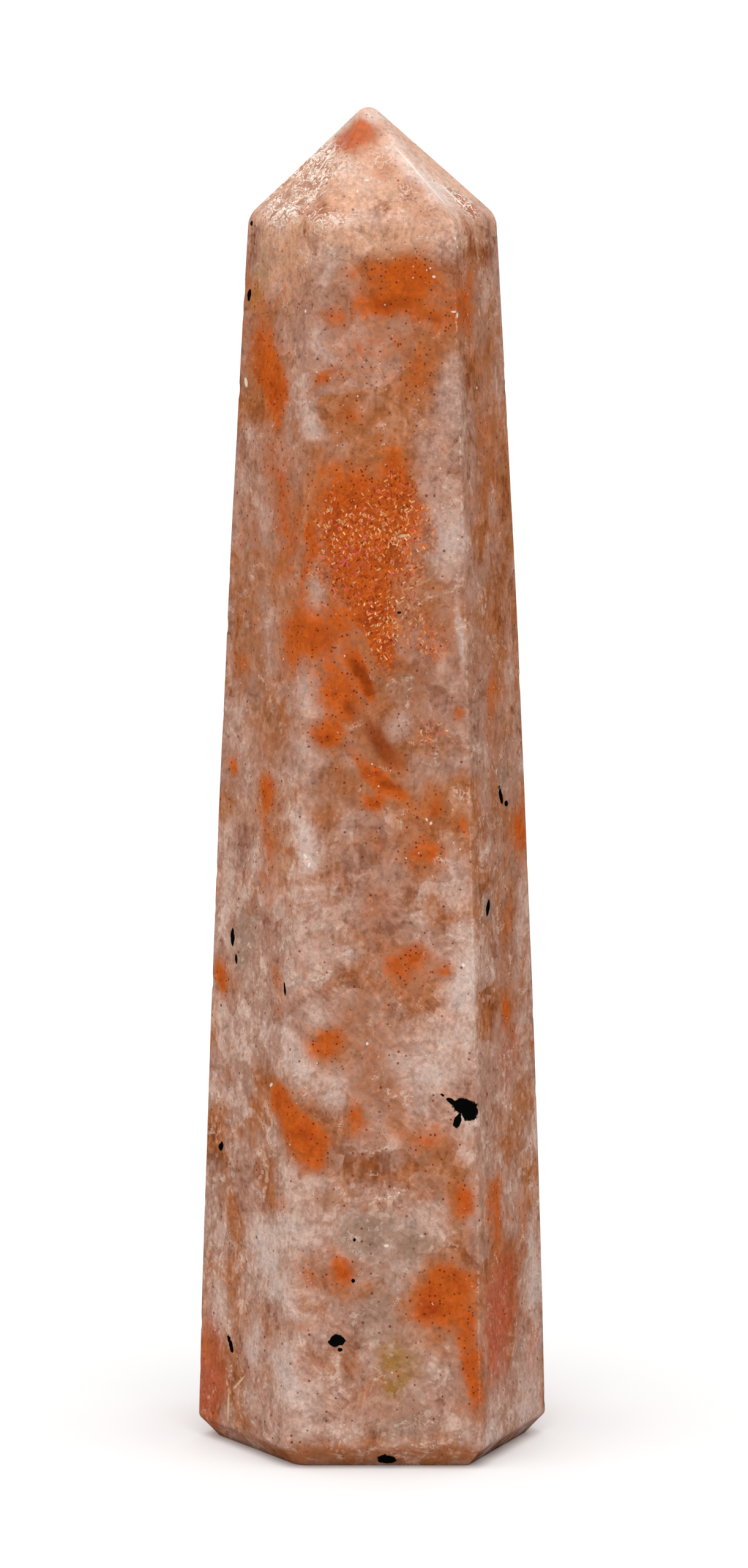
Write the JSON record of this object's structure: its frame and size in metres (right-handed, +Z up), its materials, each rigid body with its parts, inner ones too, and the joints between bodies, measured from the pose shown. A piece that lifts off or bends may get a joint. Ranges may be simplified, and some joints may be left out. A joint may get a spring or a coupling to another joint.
{
  "type": "sunstone obelisk",
  "caption": "Polished natural stone obelisk: a tapering hexagonal pillar with softly worn edges, a low pyramid point and a flat, bevelled base to stand on.",
  "frame": {"origin": "middle of the flat base, on the surface that the stone stands on", "axes": "+Z up along the stone to its point, -Y out of the broad front face, +X to the right as seen from the front"},
  "size_m": [0.0262, 0.0228, 0.1],
  "materials": {
    "sunstone": "polished"
  },
  "bodies": {
    "root": {"obelisk": "sunstone"}
  },
  "joints": []
}
